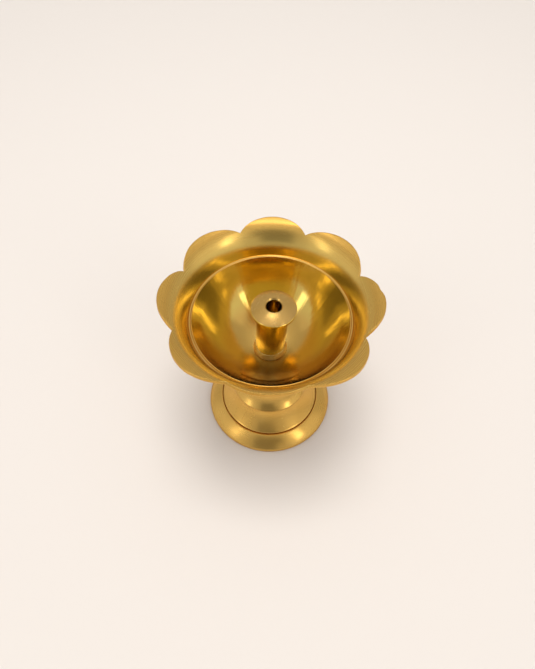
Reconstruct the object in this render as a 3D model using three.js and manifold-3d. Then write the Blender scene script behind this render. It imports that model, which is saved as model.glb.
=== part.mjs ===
import * as THREE from 'three';
import { mergeVertices } from 'three/addons/utils/BufferGeometryUtils.js';
import Module from 'manifold-3d';

// Brass diya: a bowl with a flange cut into petals, on a stepped trumpet foot. A threaded stud runs
// up the middle, and the drilled wick post screws down on it and clamps the bowl to the foot.
// Millimetres, +Z up. The origin is on the lamp's axis, on the table that the foot stands on.

// Foot
const footRadius = 25.0;
const footRimHeight = 1.3;
const footRimWall = 2.2;
const footRimRecess = 0.9;
const footRounding = 0.3;
const footBulge = 0.7;
const grooveRadius = 19.4;
const grooveHeight = 5.2;
const grooveDepth = 0.35;
const grooveWidth = 0.35;
const coveToe = 6.0;
const coveSpread = 0.3;
const stepRadius = 14.45;
const stepHeight = 14.9;
const stepEdge = 0.6;
const stepUndercut = 1.35;
const flareToe = 3.2;
const flareSpread = 1.2;
const neckRadius = 8.2;
const pedestalHeight = 36.65;
const neckBelowTop = 8.0;
const crownRadius = 9.2;
const crownBand = 2.6;
const crownFillet = 2.2;
const crownEdge = 0.4;
const crownThickness = 4.6;
const pedestalWall = 2.4;
const neckWall = 1.5;

// Bowl and petals
const floorThickness = 2.6;
const floorRadius = 6.3;
const floorRound = 6.2;
const floorSlope = THREE.MathUtils.degToRad(6.5);
const bowlDepth = 18.9;
const lipRadius = 26.7;
const wallSlope = THREE.MathUtils.degToRad(60);
const wallStraight = 4.0;
const wallBendShare = 0.537;
const bowlWall = 2.3;
const bossRadius = 9.7;
const bossHeight = 0.25;
const beadWidth = 0.65;
const beadHeight = 0.15;
const flangeGap = 0.3;
const flangeGapDepth = 0.2;
const flangeStartSlope = THREE.MathUtils.degToRad(70.6);
const flangeEndSlope = THREE.MathUtils.degToRad(11.3);
const flangeThickness = 1.35;
const petalCount = 8;
const petalTipRadius = 36.7;
const petalCuspRadius = 32.3;
const petalRise = 10.0;
const petalEdge = 1.1;

// Wick post
const postRadius = 5.35;
const collarHeight = 2.2;
const collarSpread = 0.85;
const collarRim = 0.4;
const collarBand = 0.9;
const postLength = 21.25;
const sleeveRadius = 5.62;
const sleeveLength = 2.75;
const headNeck = 0.5;
const headRadius = 7.75;
const headEdge = 1.0;
const headUnderside = 1.3;
const headDome = 1.5;
const boreRadius = 2.55;
const boreChamfer = 0.45;
const feedHoleRadius = 1.4;
const feedHoleAboveStud = 2.4;

// Stud, washer and nut
const threadMajorRadius = 2.95;
const threadMinorRadius = 2.4;
const threadPitch = 1.0;
const threadCrest = 0.1;
const threadRoot = 0.36;
const threadEngagement = 4.0;
const tapRunOut = 0.6;
const studTail = 1.6;
const studChamfer = 0.4;
const shankRadius = 2.45;
const threadBeyondCrown = 1.2;
const threadBelowFloor = 1.0;
const shankLap = 0.2;
const nutHeight = 4.8;
const nutAcrossFlats = 10.0;
const nutFaceInset = 0.1;
const nutBevelAngle = THREE.MathUtils.degToRad(30);
const washerRadius = 6.0;
const washerThickness = 1.4;

// Small bevel that breaks each turned corner
const bevel = 0.2;

// Clearances
const seatGap = 0.05;
const throughHoleClearance = 0.35;
const threadRadialClearance = 0.2;
const threadAxialClearance = 0.08;

// Facets
const turnSegments = 48;
const postSegments = 36;
const threadSegments = 16;
const petalColumns = 10;
const curveSteps = 7;
const flangeRows = 6;
const footSteps = 3;
const feedHoleSegments = 16;

// Heights that follow from the sizes above
const bowlSeat = pedestalHeight + seatGap;
const floorHeight = bowlSeat + floorThickness;
const lipHeight = floorHeight + bowlDepth;
const collarBase = floorHeight + seatGap;
const collarTop = collarBase + collarHeight;
const postBase = collarTop + seatGap;
const studTop = postBase + threadEngagement;
const crownUnderside = pedestalHeight - crownThickness;
const washerTop = crownUnderside - seatGap;
const nutTop = washerTop - washerThickness - seatGap;
const studBottom = nutTop - nutHeight - studTail;
const throughHoleRadius = threadMajorRadius + throughHoleClearance;

const wasm = await Module();
wasm.setup();

function solidOf(geometry) {
  const bare = geometry.clone();
  bare.deleteAttribute('normal');
  bare.deleteAttribute('uv');
  const merged = mergeVertices(bare, 1e-5);
  return new wasm.Manifold(new wasm.Mesh({
    numProp: 3,
    vertProperties: new Float32Array(merged.attributes.position.array),
    triVerts: new Uint32Array(merged.index.array),
  }));
}

function geometryOf(solid) {
  const mesh = solid.getMesh();
  return indexedGeometry(mesh.vertProperties, mesh.triVerts);
}

function indexedGeometry(positions, triangles) {
  const geometry = new THREE.BufferGeometry();
  geometry.setAttribute('position', new THREE.BufferAttribute(new Float32Array(positions), 3));
  geometry.setIndex(Array.from(triangles));
  geometry.computeVertexNormals();
  return geometry;
}

const point = (radius, height) => new THREE.Vector2(radius, height);

// A closed outline of radius and height, turned round the Z axis
function turned(outline, segments) {
  const closed = [...outline, outline[0].clone()];
  return new THREE.LatheGeometry(closed, segments).rotateX(Math.PI / 2);
}

function curve(start, control, end, steps) {
  return new THREE.QuadraticBezierCurve(start, control, end).getPoints(steps);
}

// Points moved sideways off their own line, to the right of its direction
function offset(points, distance) {
  return points.map((p, i) => {
    const before = points[Math.max(i - 1, 0)];
    const after = points[Math.min(i + 1, points.length - 1)];
    const along = after.clone().sub(before).normalize();
    return point(p.x + along.y * distance, p.y - along.x * distance);
  });
}

// A closed rod with a helical ridge, cut off by an outline that is turned round its axis.
// The ridge starts from the same height everywhere, so that a nut cut by it stays in mesh.
function threadedRod(bottom, top, clearance, trim) {
  const crest = threadCrest + threadAxialClearance * clearance / threadPitch;
  const root = threadRoot + threadAxialClearance * clearance / threadPitch;
  const minor = threadMinorRadius + threadRadialClearance * clearance;
  const major = threadMajorRadius + threadRadialClearance * clearance;
  const profile = [[0.5 - root, minor], [0.5 - crest, major], [0.5 + crest, major], [0.5 + root, minor]];
  const firstTurn = Math.floor(bottom / threadPitch) - 2;
  const lastTurn = Math.ceil(top / threadPitch) + 1;
  const rows = [];
  for (let turn = firstTurn; turn < lastTurn; turn++) {
    for (const [share, radius] of profile) {
      rows.push({ height: (turn + share) * threadPitch, radius });
    }
  }
  const positions = [];
  for (const { height, radius } of rows) {
    for (let i = 0; i < threadSegments; i++) {
      const angle = (i / threadSegments) * 2 * Math.PI;
      const rise = (i / threadSegments) * threadPitch;
      positions.push(radius * Math.cos(angle), radius * Math.sin(angle), height + rise);
    }
  }
  const rowStep = profile.length;
  const vertex = (row, i) => (i === threadSegments
    ? (row + rowStep) * threadSegments
    : row * threadSegments + i);
  const triangles = [];
  const lastRow = rows.length - 1 - rowStep;
  for (let row = 0; row < lastRow; row++) {
    for (let i = 0; i < threadSegments; i++) {
      const [a, b] = [vertex(row, i), vertex(row, i + 1)];
      const [c, d] = [vertex(row + 1, i), vertex(row + 1, i + 1)];
      triangles.push(a, b, d, a, d, c);
    }
  }
  const ring = (row) => {
    const loop = Array.from({ length: threadSegments }, (_, i) => vertex(row, i));
    for (let step = rowStep; step > 0; step--) loop.push(vertex(row + step, 0));
    return loop;
  };
  const cap = (row, height, upward) => {
    const centre = positions.length / 3;
    positions.push(0, 0, height);
    const loop = ring(row);
    loop.forEach((from, i) => {
      const to = loop[(i + 1) % loop.length];
      triangles.push(...(upward ? [centre, from, to] : [centre, to, from]));
    });
  };
  cap(0, rows[0].height + threadPitch / 2, false);
  cap(lastRow, rows[lastRow].height + threadPitch / 2, true);
  const used = mergeVertices(indexedGeometry(positions, triangles), 1e-6);
  return solidOf(used).intersect(solidOf(turned(trim, threadSegments)));
}

// The thread as a cutter: the rod with its clearances, from bottom to top
function threadCutter(bottom, top) {
  const reach = threadMajorRadius + 2 * threadRadialClearance;
  const trim = [point(0, bottom), point(reach, bottom), point(reach, top), point(0, top)];
  return threadedRod(bottom, top, 1, trim);
}

// Foot, open below, with a flat rim and a solid crown under the bowl
function pedestal() {
  const rim = [
    point(footRadius - footRounding, 0),
    point(footRadius, footRounding),
    point(footRadius, footRimHeight),
  ];
  const flange = curve(
    point(footRadius - footRounding, footRimHeight + footRounding),
    point((footRadius + grooveRadius) / 2 + footRounding, (footRimHeight + grooveHeight) / 2 + footBulge),
    point(grooveRadius + grooveWidth + bevel, grooveHeight),
    footSteps,
  );
  const groove = [
    point(grooveRadius + grooveWidth / 2, grooveHeight),
    point(grooveRadius, grooveHeight - grooveDepth),
    point(grooveRadius - grooveWidth / 2, grooveHeight + bevel / 2),
  ];
  const cove = curve(
    point(grooveRadius - grooveWidth - bevel / 2, grooveHeight + bevel),
    point(stepRadius - stepUndercut + coveSpread, grooveHeight + coveToe),
    point(stepRadius - stepUndercut, stepHeight - stepEdge),
    curveSteps,
  );
  const step = [point(stepRadius, stepHeight - stepEdge + bevel), point(stepRadius, stepHeight)];
  const neckHeight = pedestalHeight - neckBelowTop;
  const flare = curve(
    point(stepRadius - bevel, stepHeight + bevel),
    point(neckRadius + flareSpread, stepHeight + flareToe),
    point(neckRadius, neckHeight),
    curveSteps,
  );
  const bandHeight = pedestalHeight - crownBand;
  const crown = [
    point(neckRadius, bandHeight - crownFillet),
    point(neckRadius + (crownRadius - neckRadius) / 4, bandHeight - crownFillet / 2),
    point(crownRadius - footRounding, bandHeight - footRounding),
    point(crownRadius, bandHeight),
    point(crownRadius, pedestalHeight - crownEdge),
    point(crownRadius - crownEdge, pedestalHeight),
    point(throughHoleRadius, pedestalHeight),
    point(throughHoleRadius, crownUnderside),
  ];
  const neckInside = neckRadius - neckWall;
  const hollow = [
    point(neckInside, crownUnderside),
    point(neckInside, neckHeight - pedestalWall),
    point(neckInside + pedestalWall * 0.75, stepHeight + flareToe),
    point(stepRadius - pedestalWall * 1.4, stepHeight - stepEdge),
    point(stepRadius - pedestalWall, (stepHeight + grooveHeight) / 2 - stepEdge),
    point(stepRadius + stepEdge, grooveHeight - bevel),
    point(grooveRadius - pedestalWall / 3, grooveHeight - pedestalWall),
    point(footRadius - footRimWall, footRimRecess),
    point(footRadius - footRimWall, 0),
  ];
  const outside = [...rim, ...flange, ...groove, ...cove, ...step, ...flare, ...crown];
  return turned([...outside, ...hollow], turnSegments);
}

// Height of the petals' upper face above the table at a radius, and its slope: a cubic curve that
// leaves the lip steeply and levels out towards the petals' tips
const flangeStart = lipRadius + beadWidth + flangeGap;
const flangeReach = petalTipRadius - flangeStart;
const startRise = Math.tan(flangeStartSlope) * flangeReach;
const endRise = Math.tan(flangeEndSlope) * flangeReach;
const squareRise = 3 * petalRise - 2 * startRise - endRise;
const cubeRise = startRise + endRise - 2 * petalRise;
const flangeHeight = (radius) => {
  const share = (radius - flangeStart) / flangeReach;
  return lipHeight + share * (startRise + share * (squareRise + share * cubeRise));
};
const flangeAngle = (radius) => {
  const share = (radius - flangeStart) / flangeReach;
  return Math.atan((startRise + share * (2 * squareRise + share * 3 * cubeRise)) / flangeReach);
};

// Radius of the petals' edge: one round arc for each petal, between two cusps
function petalRadius(angle) {
  const half = Math.PI / petalCount;
  const around = THREE.MathUtils.euclideanModulo(angle + half, 2 * half) - half;
  const chord = petalCuspRadius * Math.cos(half);
  const bulge = petalTipRadius - chord;
  const width = petalCuspRadius * Math.sin(half);
  const arcRadius = (width * width + bulge * bulge) / (2 * bulge);
  const centre = petalTipRadius - arcRadius;
  return centre * Math.cos(around) + Math.sqrt(arcRadius ** 2 - (centre * Math.sin(around)) ** 2);
}

// Bowl: the same outline all the way round up to the flange, which reaches out to the petals' edge
function flowerBowl() {
  const bend = (bowlDepth - wallStraight) * wallBendShare;
  const straightEnd = point(lipRadius - wallStraight / Math.tan(wallSlope), lipHeight - wallStraight);
  const wall = new THREE.CubicBezierCurve(
    point(floorRadius, floorHeight),
    point(floorRadius + floorRound, floorHeight + floorRound * Math.tan(floorSlope)),
    point(straightEnd.x - bend / Math.tan(wallSlope), straightEnd.y - bend),
    straightEnd,
  ).getPoints(curveSteps);
  wall.push(point(lipRadius, lipHeight));
  const bead = [
    point(lipRadius + beadWidth * 0.25, lipHeight + beadHeight),
    point(lipRadius + beadWidth * 0.75, lipHeight + beadHeight),
    point(lipRadius + beadWidth, lipHeight),
    point(lipRadius + beadWidth + flangeGap / 2, lipHeight - flangeGapDepth),
  ];
  const flangeShares = Array.from({ length: flangeRows }, (_, i) => i / (flangeRows - 1));
  const underWall = offset(wall, bowlWall).filter((p) => p.x > bossRadius + bowlWall / 2);
  const columns = petalCount * petalColumns;
  const outlineAt = (angle) => {
    const edge = petalRadius(angle);
    const radii = flangeShares.map((share) => flangeStart + share * (edge - flangeStart));
    const top = radii.map((r) => point(r, flangeHeight(r)));
    const underside = radii.map((r, i) => {
      const thickness = THREE.MathUtils.lerp(flangeThickness, petalEdge, flangeShares[i]);
      const slope = flangeAngle(r);
      return point(r + thickness * Math.sin(slope), flangeHeight(r) - thickness * Math.cos(slope));
    });
    return [
      point(throughHoleRadius, bowlSeat),
      point(throughHoleRadius, floorHeight),
      ...wall,
      ...bead,
      ...top,
      ...underside.reverse(),
      ...underWall.slice(0, -1).reverse(),
      point(bossRadius, bowlSeat + bossHeight),
      point(bossRadius - bossHeight, bowlSeat),
    ];
  };
  const positions = [];
  let rows = 0;
  for (let column = 0; column < columns; column++) {
    const angle = (column / columns) * 2 * Math.PI;
    const outline = outlineAt(angle);
    rows = outline.length;
    for (const p of outline) positions.push(p.x * Math.cos(angle), p.x * Math.sin(angle), p.y);
  }
  const triangles = [];
  for (let column = 0; column < columns; column++) {
    const next = (column + 1) % columns;
    for (let row = 0; row < rows; row++) {
      const after = (row + 1) % rows;
      const [a, b] = [column * rows + row, next * rows + row];
      const [c, d] = [column * rows + after, next * rows + after];
      triangles.push(a, d, b, a, c, d);
    }
  }
  return indexedGeometry(positions, triangles);
}

// Tapered ring between the post's end and the bowl's floor
function sealingCollar() {
  return turned([
    point(throughHoleRadius, collarBase),
    point(postRadius + collarSpread - bevel, collarBase),
    point(postRadius + collarSpread, collarBase + collarRim),
    point(postRadius + collarSpread / 2, collarTop - collarBand),
    point(postRadius, collarTop),
    point(throughHoleRadius, collarTop),
  ], postSegments);
}

// Post: drilled for the wick, tapped at its foot, with a feed hole for the oil in its back
function wickHolder() {
  const edgeTop = postBase + postLength;
  const edgeBottom = edgeTop - headEdge;
  const sleeveTop = edgeBottom - headUnderside;
  const headTop = edgeTop + headDome;
  const outline = [
    point(boreRadius, postBase),
    point(postRadius - bevel, postBase),
    point(postRadius, postBase + bevel),
    point(postRadius, sleeveTop - sleeveLength - bevel),
    point(sleeveRadius, sleeveTop - sleeveLength),
    point(sleeveRadius, sleeveTop),
    point(sleeveRadius + headNeck, (sleeveTop + edgeBottom) / 2),
    point(headRadius - bevel, edgeBottom),
    point(headRadius, edgeBottom + bevel),
    point(headRadius, edgeTop - bevel),
    point(headRadius - bevel, edgeTop),
    point((headRadius + boreRadius) / 2, edgeTop + headDome * 0.6),
    point(boreRadius + boreChamfer, headTop),
    point(boreRadius, headTop - boreChamfer),
  ];
  const bore = threadCutter(postBase - threadPitch, studTop + tapRunOut);
  const feedHole = new THREE.CylinderGeometry(feedHoleRadius, feedHoleRadius, headRadius, feedHoleSegments);
  feedHole.translate(0, headRadius / 2, studTop + feedHoleAboveStud);
  const body = solidOf(turned(outline, postSegments));
  return geometryOf(body.subtract(bore).subtract(solidOf(feedHole)));
}

// Stud: threaded at both ends, plain where it passes through the foot's crown and the floor
function centreStud() {
  const end = threadMajorRadius - studChamfer;
  const full = threadMajorRadius + threadRadialClearance;
  const outline = (bottom, top, low, high) => [
    point(0, bottom), point(low, bottom), point(full, bottom + full - low),
    point(full, top - full + high), point(high, top), point(0, top),
  ];
  const lowerTop = crownUnderside + threadBeyondCrown;
  const upperBottom = collarBase - threadBelowFloor;
  const lower = threadedRod(studBottom, lowerTop, 0, outline(studBottom, lowerTop, end, full));
  const upper = threadedRod(upperBottom, studTop, 0, outline(upperBottom, studTop, full, end));
  const shank = turned([
    point(0, lowerTop - shankLap), point(shankRadius, lowerTop - shankLap),
    point(shankRadius, upperBottom + shankLap), point(0, upperBottom + shankLap),
  ], threadSegments);
  return geometryOf(lower.add(solidOf(shank)).add(upper));
}

function studWasher() {
  const bottom = washerTop - washerThickness;
  return turned([
    point(throughHoleRadius, bottom), point(washerRadius - bevel, bottom),
    point(washerRadius, bottom + bevel), point(washerRadius, washerTop - bevel),
    point(washerRadius - bevel, washerTop), point(throughHoleRadius, washerTop),
  ], postSegments);
}

// Hexagonal nut with its corners turned off at both faces
function studNut() {
  const corner = nutAcrossFlats / Math.sqrt(3);
  const middle = nutTop - nutHeight / 2;
  const hexagon = new THREE.CylinderGeometry(corner, corner, nutHeight, 6).rotateX(Math.PI / 2);
  hexagon.translate(0, 0, middle);
  const faceRadius = nutAcrossFlats / 2 - nutFaceInset;
  const cornerDrop = (corner - faceRadius) * Math.tan(nutBevelAngle);
  const turning = turned([
    point(0, nutTop - nutHeight), point(faceRadius, nutTop - nutHeight),
    point(corner, nutTop - nutHeight + cornerDrop), point(corner, nutTop - cornerDrop),
    point(faceRadius, nutTop), point(0, nutTop),
  ], postSegments);
  const thread = threadCutter(nutTop - nutHeight - threadPitch, nutTop + threadPitch);
  return geometryOf(solidOf(hexagon).intersect(solidOf(turning)).subtract(thread));
}

const brass = (colour, roughness) => new THREE.MeshStandardMaterial({
  color: colour,
  roughness,
  metalness: 1,
});

const pieces = [
  ['pedestal', pedestal(), brass('#b08d49', 0.34)],
  ['flower_bowl', flowerBowl(), brass('#b58e3c', 0.24)],
  ['sealing_collar', sealingCollar(), brass('#d3b76d', 0.4)],
  ['wick_holder', wickHolder(), brass('#ae9152', 0.3)],
  ['centre_stud', centreStud(), brass('#a88a4c', 0.36)],
  ['stud_washer', studWasher(), brass('#a98c50', 0.4)],
  ['stud_nut', studNut(), brass('#a5884a', 0.38)],
];

const diya = new THREE.Group();
for (const [name, geometry, material] of pieces) {
  const mesh = new THREE.Mesh(geometry, material);
  mesh.name = name;
  diya.add(mesh);
}

export default diya;
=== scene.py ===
import math

import bmesh
import bpy
import numpy as np
from mathutils import Matrix, Vector


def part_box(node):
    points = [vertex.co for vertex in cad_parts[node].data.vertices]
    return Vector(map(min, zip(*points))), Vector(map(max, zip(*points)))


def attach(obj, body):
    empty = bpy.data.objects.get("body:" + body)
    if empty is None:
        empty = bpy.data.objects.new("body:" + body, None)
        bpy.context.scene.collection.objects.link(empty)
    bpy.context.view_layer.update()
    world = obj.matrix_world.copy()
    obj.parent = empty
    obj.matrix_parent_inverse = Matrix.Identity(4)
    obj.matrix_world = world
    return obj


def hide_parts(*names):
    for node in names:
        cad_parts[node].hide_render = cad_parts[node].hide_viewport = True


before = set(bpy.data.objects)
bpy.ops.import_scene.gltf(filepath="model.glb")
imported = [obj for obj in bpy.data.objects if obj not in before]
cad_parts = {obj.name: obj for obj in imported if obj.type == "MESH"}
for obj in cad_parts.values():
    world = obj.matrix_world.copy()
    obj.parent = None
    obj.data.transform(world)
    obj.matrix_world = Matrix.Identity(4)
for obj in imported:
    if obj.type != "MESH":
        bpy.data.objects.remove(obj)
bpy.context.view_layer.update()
scene = bpy.context.scene
mm = 0.001


def nodeHeights(node):
    low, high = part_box(node)
    return low[2] / mm, high[2] / mm


# heights above the table in millimetres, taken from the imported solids
crownTop = nodeHeights("pedestal")[1]
bowlSeat, petalTop = nodeHeights("flower_bowl")
collarBase, collarTop = nodeHeights("sealing_collar")
postBase, postTop = nodeHeights("wick_holder")
studBottom, studTop = nodeHeights("centre_stud")
washerBase, washerTop = nodeHeights("stud_washer")
nutBase, nutTop = nodeHeights("stud_nut")
print("frame loaded", [round(v, 2) for v in (crownTop, bowlSeat, petalTop, postTop)])


# Outlines

def curvePoints(start, control, end, steps):
    t = np.linspace(0, 1, steps + 1)[:, None]
    a, b, c = (np.array(p, float) for p in (start, control, end))
    return [tuple(p) for p in (1 - t) ** 2 * a + 2 * t * (1 - t) * b + t * t * c]


def cubicPoints(a, b, c, d, steps):
    t = np.linspace(0, 1, steps + 1)[:, None]
    a, b, c, d = (np.array(p, float) for p in (a, b, c, d))
    line = (1 - t) ** 3 * a + 3 * t * (1 - t) ** 2 * b + 3 * t * t * (1 - t) * c + t ** 3 * d
    return [tuple(p) for p in line]


# rounds each corner (radius, height, rounding) of a closed outline with an arc
def roundedOutline(corners, steps=5):
    points = []
    count = len(corners)
    for i, corner in enumerate(corners):
        here = np.array(corner[:2], float)
        rounding = corner[2] if len(corner) > 2 else 0
        before = np.array(corners[i - 1][:2], float) - here
        after = np.array(corners[(i + 1) % count][:2], float) - here
        if not rounding:
            points.append(tuple(here))
            continue
        reach = min(rounding, 0.45 * np.linalg.norm(before), 0.45 * np.linalg.norm(after))
        start = here + before / np.linalg.norm(before) * reach
        end = here + after / np.linalg.norm(after) * reach
        points += curvePoints(start, here, end, steps)
    return points


# splits the outline's long straight stretches, so that no face is much longer than the rest
def evenOutline(points, longest=0.6):
    result = []
    for i, here in enumerate(points):
        after = points[(i + 1) % len(points)]
        parts = max(1, math.ceil(math.dist(here, after) / longest))
        for k in range(parts):
            share = k / parts
            result.append(tuple(a + (b - a) * share for a, b in zip(here, after)))
    return result


def finishMesh(mesh, sharpAngle=40):
    work = bmesh.new()
    work.from_mesh(mesh)
    bmesh.ops.remove_doubles(work, verts=work.verts, dist=1e-7)
    bmesh.ops.recalc_face_normals(work, faces=work.faces)
    work.to_mesh(mesh)
    work.free()
    mesh.polygons.foreach_set("use_smooth", [True] * len(mesh.polygons))
    mesh.set_sharp_from_angle(angle=math.radians(sharpAngle))
    mesh.update()


# turns a closed outline in millimetres round the Z axis
def turnedObject(name, outline, segments, ripple=None, angles=None):
    profile = np.array(outline)
    if angles is None:
        angles = np.linspace(0, 2 * math.pi, segments, endpoint=False)
    radius = np.repeat(profile[:, 0][:, None], segments, axis=1)
    height = np.repeat(profile[:, 1][:, None], segments, axis=1)
    if ripple:
        radius, height = ripple(radius, height, angles[None, :])
    grid = np.stack([radius * np.cos(angles), radius * np.sin(angles), height], axis=-1)
    rows = len(profile)
    faces = []
    for row in range(rows):
        low, high = row * segments, ((row + 1) % rows) * segments
        for column in range(segments):
            beside = (column + 1) % segments
            faces.append((low + column, low + beside, high + beside, high + column))
    mesh = bpy.data.meshes.new(name)
    mesh.from_pydata((grid.reshape(-1, 3) * mm).tolist(), [], faces)
    piece = bpy.data.objects.new(name, mesh)
    scene.collection.objects.link(piece)
    return piece


# Node helpers

def linkOrSet(tree, socket, value):
    if isinstance(value, bpy.types.NodeSocket):
        tree.links.new(value, socket)
    else:
        socket.default_value = value


def sumsIn(tree):
    def work(operation, *values, clamp=False):
        node = tree.nodes.new("ShaderNodeMath")
        node.operation = operation
        node.use_clamp = clamp
        for socket, value in zip(node.inputs, values):
            linkOrSet(tree, socket, value)
        return node.outputs[0]
    return work


def newGeometryTree(name, numbers):
    tree = bpy.data.node_groups.new(name, "GeometryNodeTree")
    tree.interface.new_socket("Geometry", in_out="INPUT", socket_type="NodeSocketGeometry")
    for label, value in numbers.items():
        socket = tree.interface.new_socket(label, in_out="INPUT", socket_type="NodeSocketFloat")
        socket.default_value = value
    tree.interface.new_socket("Material", in_out="INPUT", socket_type="NodeSocketMaterial")
    tree.interface.new_socket("Geometry", in_out="OUTPUT", socket_type="NodeSocketGeometry")
    return tree, tree.nodes.new("NodeGroupInput"), tree.nodes.new("NodeGroupOutput")


def closeTree(tree, geometry, group, output):
    realize = tree.nodes.new("GeometryNodeRealizeInstances")
    material = tree.nodes.new("GeometryNodeSetMaterial")
    tree.links.new(geometry, realize.inputs[0])
    tree.links.new(realize.outputs[0], material.inputs["Geometry"])
    tree.links.new(group.outputs["Material"], material.inputs["Material"])
    tree.links.new(material.outputs[0], output.inputs[0])


def namedFloat(tree, name):
    node = tree.nodes.new("GeometryNodeInputNamedAttribute")
    node.data_type = "FLOAT"
    node.inputs["Name"].default_value = name
    return node.outputs["Attribute"]


def cylinderPlace(tree, work):
    position = tree.nodes.new("GeometryNodeInputPosition")
    split = tree.nodes.new("ShaderNodeSeparateXYZ")
    tree.links.new(position.outputs[0], split.inputs[0])
    x, y, z = (work("DIVIDE", split.outputs[i], mm) for i in range(3))
    squares = work("ADD", work("MULTIPLY", x, x), work("MULTIPLY", y, y))
    return work("ARCTAN2", y, x), work("SQRT", squares), z


def placeAt(tree, work, geometry, radius, angle, height, selection):
    combine = tree.nodes.new("ShaderNodeCombineXYZ")
    values = (
        work("MULTIPLY", radius, work("COSINE", angle)),
        work("MULTIPLY", radius, work("SINE", angle)),
        height,
    )
    for socket, value in zip(combine.inputs, values):
        tree.links.new(work("MULTIPLY", value, mm), socket)
    setter = tree.nodes.new("GeometryNodeSetPosition")
    tree.links.new(geometry, setter.inputs["Geometry"])
    tree.links.new(selection, setter.inputs["Selection"])
    tree.links.new(combine.outputs[0], setter.inputs["Position"])
    return setter.outputs[0]


def addNodes(piece, tree, settings, material):
    modifier = piece.modifiers.new(tree.name, "NODES")
    modifier.node_group = tree
    for item in tree.interface.items_tree:
        if item.item_type != "SOCKET" or item.in_out != "INPUT":
            continue
        if item.name in settings:
            modifier[item.identifier] = float(settings[item.name])
        elif item.name == "Material":
            modifier[item.identifier] = material


# replaces a piece's mesh with what its modifiers make of it
def settle(piece):
    bpy.context.view_layer.update()
    depsgraph = bpy.context.evaluated_depsgraph_get()
    made = bpy.data.meshes.new_from_object(piece.evaluated_get(depsgraph))
    piece.modifiers.clear()
    piece.data = made


# Materials

def newMaterial(name):
    material = bpy.data.materials.new(name)
    material.use_nodes = True
    tree = material.node_tree
    tree.nodes.clear()
    output = tree.nodes.new("ShaderNodeOutputMaterial")
    shader = tree.nodes.new("ShaderNodeBsdfPrincipled")
    tree.links.new(shader.outputs[0], output.inputs[0])
    return material, tree, shader


def objectCoordinates(tree):
    return tree.nodes.new("ShaderNodeTexCoord").outputs["Object"]


def noiseIn(tree, vector, scale, detail=3.0, roughness=0.5, distortion=0.0):
    node = tree.nodes.new("ShaderNodeTexNoise")
    tree.links.new(vector, node.inputs["Vector"])
    node.inputs["Scale"].default_value = scale
    node.inputs["Detail"].default_value = detail
    node.inputs["Roughness"].default_value = roughness
    node.inputs["Distortion"].default_value = distortion
    return node.outputs["Fac"]


def ranged(tree, value, low, high, toLow, toHigh):
    node = tree.nodes.new("ShaderNodeMapRange")
    node.inputs["From Min"].default_value = low
    node.inputs["From Max"].default_value = high
    for label, target in (("To Min", toLow), ("To Max", toHigh)):
        linkOrSet(tree, node.inputs[label], target)
    tree.links.new(value, node.inputs["Value"])
    return node.outputs["Result"]


def mixedColour(tree, share, first, second, blend="MIX"):
    node = tree.nodes.new("ShaderNodeMix")
    node.data_type = "RGBA"
    node.blend_type = blend
    linkOrSet(tree, node.inputs["Factor"], share)
    for label, value in (("A", first), ("B", second)):
        socket = [s for s in node.inputs if s.name == label and s.type == "RGBA"][0]
        linkOrSet(tree, socket, value)
    return [s for s in node.outputs if s.type == "RGBA"][0]


# coordinates that follow the turning: across the marks, and slowly round the axis
def turningVector(tree, across, around):
    split = tree.nodes.new("ShaderNodeSeparateXYZ")
    tree.links.new(objectCoordinates(tree), split.inputs[0])
    work = sumsIn(tree)
    x, y, z = split.outputs
    radius = work("SQRT", work("ADD", work("MULTIPLY", x, x), work("MULTIPLY", y, y)))
    safe = work("MAXIMUM", radius, 1e-5)
    combine = tree.nodes.new("ShaderNodeCombineXYZ")
    along = work("MULTIPLY", work("ADD", radius, work("MULTIPLY", z, 0.83)), across)
    tree.links.new(along, combine.inputs[0])
    tree.links.new(work("MULTIPLY", work("DIVIDE", x, safe), around), combine.inputs[1])
    tree.links.new(work("MULTIPLY", work("DIVIDE", y, safe), around), combine.inputs[2])
    return combine.outputs[0], radius


def bumped(tree, shader, heights):
    last = None
    for value, strength, depth in heights:
        bump = tree.nodes.new("ShaderNodeBump")
        bump.inputs["Strength"].default_value = strength
        bump.inputs["Distance"].default_value = depth * mm
        tree.links.new(value, bump.inputs["Height"])
        if last:
            tree.links.new(last, bump.inputs["Normal"])
        last = bump.outputs[0]
    tree.links.new(last, shader.inputs["Normal"])


brassTones = {
    "clean": (0.70, 0.41, 0.095, 1),
    "worn": (0.67, 0.385, 0.085, 1),
    "deep": (0.58, 0.31, 0.055, 1),
    "pale": (0.75, 0.455, 0.145, 1),
    "inner": (0.70, 0.50, 0.13, 1),
    "tarnish": (0.36, 0.18, 0.03, 1),
    # colour of the painted shade where the post is reflected
    "paintedPostShade": (0.22, 0.13, 0.03, 1),
    "solder": (0.97, 0.84, 0.5, 1),
}
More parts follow.
